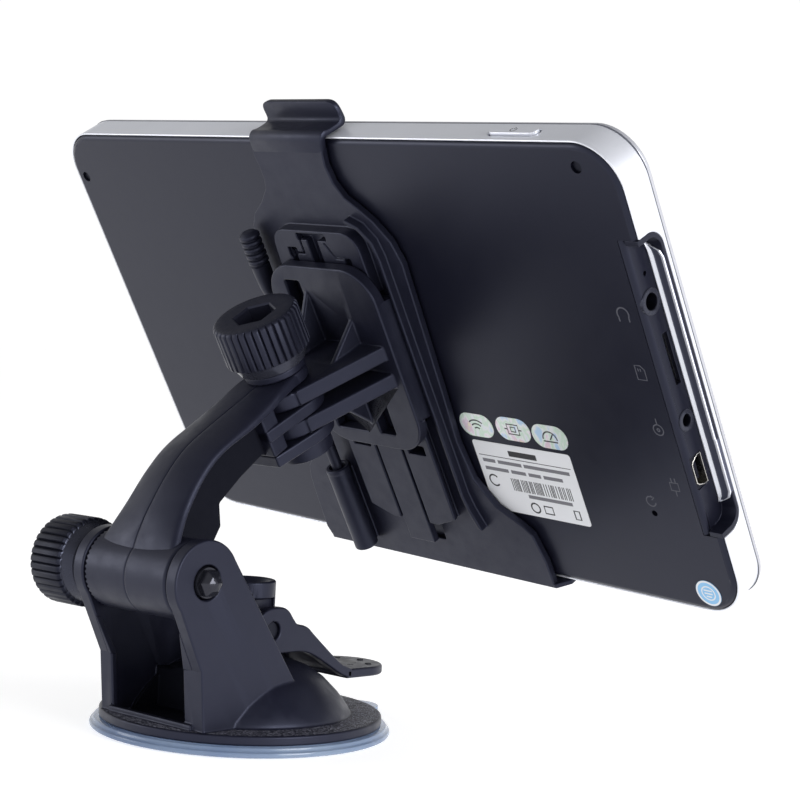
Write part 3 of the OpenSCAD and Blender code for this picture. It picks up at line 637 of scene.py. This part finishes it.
# toothed seam between hub and ear
n = 96
saw = [[], [], [], []]
for i in range(n):
    t = math.tau * i / n
    x = -12.95 if i % 2 else -12.35
    for row, r, q in zip(saw, (7.6, 8.68, 8.68, 7.6), (-11.2, -11.2, x, x)):
        row.append((q, r * math.cos(t), r * math.sin(t)))
bm = loft(saw, True)
lathe([(7.6, -13.2), (8.25, -13.2), (8.25, -12), (7.6, -12)], 64, True, core := bmesh.new())
make("detent_ring.skin", bm, AXLE, body_for("detent_ring"), "mount", 0, 2, 20, ("detent_ring",))
make("detent_ring.core", core, AXLE @ TO_X, body_for("detent_ring"), "socket")

# ---------- stylus ----------
cap = [(1.0, 34.6), (1.7, 34.45), (2.1, 34.0)]
for i in range(5):
    z = 33.9 - i * 1.6
    cap += [(2.35, z), (2.5, z - 0.2), (2.5, z - 0.9), (2.3, z - 1.1), (1.85, z - 1.15),
            (1.85, z - 1.5)]
cap += [(2.3, 25.7), (2.25, 23.5), (2.0, 20), (1.75, 18.3), (1.5, 18.0)]
make("stylus_cap.skin", lathe(cap, 64), PEN, body_for("stylus_cap"), "knob", 0, 2, 50,
     ("stylus_cap",))
make("stylus_neck.skin", lathe([(0.8, 14.2), (0.92, 14.5), (0.82, 14.9), (0.82, 17.3), (0.92, 17.7),
                                (0.92, 17.95)], 48), PEN, body_for("stylus_neck"),
     "chrome", 0, 2, 40, ("stylus_neck",))
make("stylus_barrel.skin", lathe([(0.9, 14.15), (1.25, 14.0), (1.4, 13.5), (1.4, 0.5), (1.3, 0.3),
                                  (1.3, 0), (1.4, -0.2), (1.4, -50.3)], 48), PEN,
     body_for("stylus_barrel"), "knob", 0, 2, 30, ("stylus_barrel",))
tube = lathe([(2.05, -31.3), (2.2, -31.05), (2.85, -31.05), (3.1, -31.3), (3.1, -32.2), (2.95, -32.5),
              (2.1, -32.5)], 64, True)
make("stylus_holder.rim", tube, PEN, body_for("cradle"), "mount")

# ---------- ports ----------
nav = body_for("back_cover")


def port_ring(name, y, z, r0, r1, out):
    prof = [(r0, -0.8), (r0, out - 0.12), (r0 + 0.12, out), (r1 - 0.15, out), (r1, out - 0.15),
            (r1, -0.8)]
    make(name, lathe(prof, 64, True), NAV @ Matrix.Translation((PORT_X, y, z)) @ TO_X, nav, "ring")


port_ring("audio_jack.ring", 3, 19.9, 1.85, 2.85, 0.3)
port_ring("av_jack.ring", 3.2, -8.2, 1.35, 2.35, 0.3)
band = []
for z, x1, y1 in ((31.6, 88.7, 6.5), (31.0, 89.6, 6.6), (30.0, 91.6, 6.9), (28.6, 92.2, 6.95),
                  (-14.2, 92.2, 6.95), (-14.5, 92.36, 7.0), (-27.2, 92.36, 7.0), (-28.8, 91.6,
                      6.9), (-29.8, 89.8, 6.6), (-30.2, 88.7, 6.5)):
    x0 = 88.45
    k = (x1 - x0) / 3.9
    band.append([(x0 + dx * k, dy, z) for dx, dy in ((0, 6.3), (0.1, 5.9), (0.45, 5.75), (0.8, 5.95),
        (1.2, 6.2), (2.2, 6.25), (3.2, 6.05), (3.75, 6.0), (3.9, 6.2))]
                + [(x1, y1, z), (x0, 6.9 if k > 0.5 else 6.5, z)])
strip = loft(band)
# band faces beside the black housing take the darkened silver: painted dark reflection and shade
for f in strip.faces:
    c = f.calc_center_median()
    f.material_index = int(c.y > 6.12 and c.x > 89.2)
make("port_strip", strip, NAV, nav, "silver", 0, 2, 40).data.materials.append(M["band"])
outer = [(1.55, -23.2), (1.05, -22.6), (1.05, -18.0), (1.55, -17.4), (3.3, -16.6), (4.5, -16.6),
         (4.5, -24.0), (3.3, -24.0)]
inner = [(1.72, -22.95), (1.25, -22.45), (1.25, -18.15), (1.72, -17.65), (3.38, -16.8), (4.32, -16.8),
         (4.32, -23.8), (3.38, -23.8)]


def frame_of(a, b, x0, x1):
    return loft([[(x, y, z) for y, z in p] for p, x in ((a, x0), (a, x1), (b, x1), (b, x0))], True)


make("usb_socket.skin", frame_of(outer, inner, 80, 88.62), NAV, nav, "shell_metal", 0.08, 2, 32,
     ("usb_socket",))
make("usb_tongue", loft([[(x, y, z) for y, z in ((2.5, -22.2), (2.5, -18.4), (3.3, -18.0),
    (3.3, -22.6))] for x in (80, 87.6)]), NAV, nav, "socket", 0.1)
box = [(0.95, -20.3), (0.95, -16.45), (2.4, -16.45), (4.65, -16.45), (4.65, -20.3), (4.65, -24.15),
       (2.4, -24.15), (0.95, -24.15)]
ring8 = [(1.0, -20.3), (1.05, -17.9), (2.3, -17.0), (4.52, -16.55), (4.52, -20.3), (4.52, -24.05),
         (2.3, -23.6), (1.05, -22.7)]
make("usb_surround", frame_of(box, ring8, 87.4, 88.3), NAV, nav, "socket")
# a black block behind the card slot so the slot reads dark: painted shade
make("card_slot_shade", prism([(84, -0.2), (84, 12.2), (86.9, 12.2), (86.9, -0.2)], 3.45, 4.75), NAV @ FLAT,
     nav, "socket", 0.1)


# ---------- printing and labels ----------
# depth of printing on the stickers, and on the cover itself, behind the back face
LABEL_TOP = -0.112
LEGEND_TOP = -0.012


def marks(name, mat, lines, w, y1=LEGEND_TOP):
    """Printed lines on the back face; a line that ends where it starts is closed."""
    bm = bmesh.new()
    for pts in lines:
        ring = len(pts) > 2 and (Vector(pts[0]) - Vector(pts[-1])).length < 1e-6
        ribbon(bm, pts[:-1] if ring else pts, w, y1 + 0.011, y1, ring)
    make(name, bm, NAV, nav, mat)


def box_line(x0, x1, z0, z1):
    return [(x0, z0), (x1, z0), (x1, z1), (x0, z1), (x0, z0)]


marks("legend_headphone", "legend", [arc(82.9, 18.2, 1.5, -30, 210), [(84.2, 17.5), (84.2, 16.4)],
                                     [(81.6, 17.5), (81.6, 16.4)]], 0.34)
marks("legend_card", "legend", [[(81.8, 2.7), (84.2, 2.7), (84.2, 5.2), (83.3, 6.1), (81.8, 6.1),
                                 (81.8, 2.7)], [(82.5, 5.4), (82.5, 4.7)], [(83.1, 5.4),
                                     (83.1, 4.7)]], 0.26)
marks("legend_av", "legend", [arc(83.2, -9.4, 1.3, 0, 360, 24), arc(83.2, -9.4, 0.35, 0, 360, 12),
                              [(83.2, -8.1), (83.2, -6.6)]], 0.28)
marks("legend_plug", "legend", [box_line(81.9, 84.1, -24.6, -22.6), [(82.5, -22.5), (82.5, -21.4)],
                                [(83.5, -22.5), (83.5, -21.4)], [(83.0, -24.7), (83.0, -26)]], 0.28)
marks("legend_reset", "legend", [arc(75, -28.6, 1.25, 60, 350, 20),
                                 [(75.2, -27.1), (76.1, -27.5), (75.3, -28.2)]], 0.28)
random.seed(7)
marks("label_head", "ink", [[(35.4, -22.2), (44.0, -22.2)]], 1.5, LABEL_TOP)
marks("label_rule", "ink", [[(25.6, -23.7), (53.8, -23.7)]], 0.18, LABEL_TOP)
thin = []
for z, cuts in ((-25.1, (26.3, 30.2, 31.0, 38.4, 39.1, 53.0)), (-27.3, (26.3, 33.6, 34.4, 39.0, 39.8,
    43.6, 44.4, 50.2))):
    thin += [[(cuts[i], z), (cuts[i + 1], z)] for i in range(0, len(cuts), 2)]
thin += [[(37.5, -33.6), (50.9, -33.6)]]
marks("label_lines", "greek", thin, 0.95, LABEL_TOP)
bars, x = [], 33.4
while x < 51.6:
    wd = random.choice((0.16, 0.16, 0.3, 0.42))
    bars.append([(x + wd / 2, -29.2), (x + wd / 2, -32.6)])
    x += wd + random.choice((0.2, 0.2, 0.34, 0.5))
marks("label_code", "ink", bars, 0.24, LABEL_TOP)
marks("label_signs", "ink", [arc(27.9, -30.6, 1.5, 40, 320, 16), arc(38.6, -36.6, 1.3, 0, 360, 20),
                             box_line(41.4, 44.0, -37.6, -35.6), box_line(50.6, 52.2, -37.6,
                                 -35.3)], 0.42, LABEL_TOP)
marks("oval_marks", "ink", [arc(28, -17.4, 1.2, 50, 130, 10), arc(28, -17.4, 2.2, 50, 130, 10),
                            arc(28, -17.4, 3.2, 50, 130, 12),
                            box_line(37.9, 41.3, -16.5, -13.9), box_line(38.9, 40.3, -15.8,
                                -14.6), [(37.0, -15.2), (37.8, -15.2)], [(41.4, -15.2), (42.2, -15.2)],
                            arc(50.5, -16.4, 2.1, 0, 180, 16), [(50.5, -16.4),
                                (51.6, -14.9)], [(48.4, -16.9), (52.6, -16.9)]], 0.34, LABEL_TOP)
marks("round_marks", "paper", [arc(83.7, -51, 3.05, 0, 360, 40)], 0.45, LABEL_TOP)
marks("round_marks_ring", "paper", [arc(83.7, -51, 1.75, 0, 360, 32)], 0.3, LABEL_TOP)
marks("round_marks_in", "paper", [[(82.6, -50.3), (84.8, -50.3)], [(82.6, -51.1), (84.8, -51.1)],
                                  [(83.0, -51.9), (84.4, -51.9)]], 0.34, LABEL_TOP)
# power symbol on the button and a moulded line round it
seam = ring_cut(COVER_W + 1, COVER_H + 1, CORNER_R + 0.5, FRAME_Y,
                [(0.03, -0.16), (0.03, 0.02), (-0.4, 0.02), (-0.4, -0.16)], 24)
make("frame_seam", seam, NAV, nav, "seam")
top = NAV @ Matrix.Translation((64.3, 4, 57.1)) @ Matrix.Rotation(math.radians(-90), 4, "X")
bm = bmesh.new()
ribbon(bm, arc(0, 0, 0.75, -230, 50, 18), 0.2, -0.02, 0.05)
ribbon(bm, [(0, 0.2), (0, 1.0)], 0.2, -0.02, 0.05)
make("power_symbol", bm, top, nav, "legend")

# ---------- floor and light ----------
fl = bmesh.new()
bmesh.ops.create_circle(fl, cap_ends=True, segments=96, radius=6)
me = bpy.data.meshes.new("floor")
fl.to_mesh(me)
fl.free()
floor = bpy.data.objects.new("floor", me)
floor.location.z = -0.0002
scene.collection.objects.link(floor)
fm, fnt, fb = new_mat("floor_pale", roughness=0.7)
fnt.links.new(ramp(fnt, noise(fnt, coords(fnt, 3), 3), (0.60, 0.60, 0.61), (0.62, 0.62, 0.63)),
              fb.inputs["Base Color"])
fb.inputs["Emission Color"].default_value = (1, 1, 1, 1)
fb.inputs["Emission Strength"].default_value = 0.7
me.materials.append(fm)

w = bpy.data.worlds.new("soft_white")
scene.world = w
w.use_nodes = True
bg = w.node_tree.nodes["Background"]
bg.inputs["Color"].default_value = (1, 1, 1, 1)
# white all round, falling off towards the top of the tent
wt = w.node_tree
geo = wt.nodes.new("ShaderNodeTexCoord")
sep = wt.nodes.new("ShaderNodeSeparateXYZ")
mr = wt.nodes.new("ShaderNodeMapRange")
for key, val in (("From Min", 0.20), ("From Max", 0.75), ("To Min", 1.02), ("To Max", 0.22)):
    mr.inputs[key].default_value = val
wt.links.new(geo.outputs["Generated"], sep.inputs["Vector"])
wt.links.new(sep.outputs["Z"], mr.inputs["Value"])
wt.links.new(mr.outputs["Result"], bg.inputs["Strength"])


def softbox(name, pos, target, size, power):
    ld = bpy.data.lights.new(name, "AREA")
    ld.shape = "RECTANGLE"
    ld.size, ld.size_y = size
    ld.energy = power
    lo = bpy.data.objects.new(name, ld)
    scene.collection.objects.link(lo)
    lo.location = pos
    lo.rotation_euler = (Vector(target) - Vector(pos)).to_track_quat("-Z", "Y").to_euler()


softbox("key", (1.1, 0.0, 0.35), (0, 0, 0.08), (0.5, 0.5), 8)
softbox("fill", (-0.8, -0.7, 0.35), (0, 0, 0.06), (0.5, 0.5), 2.5)
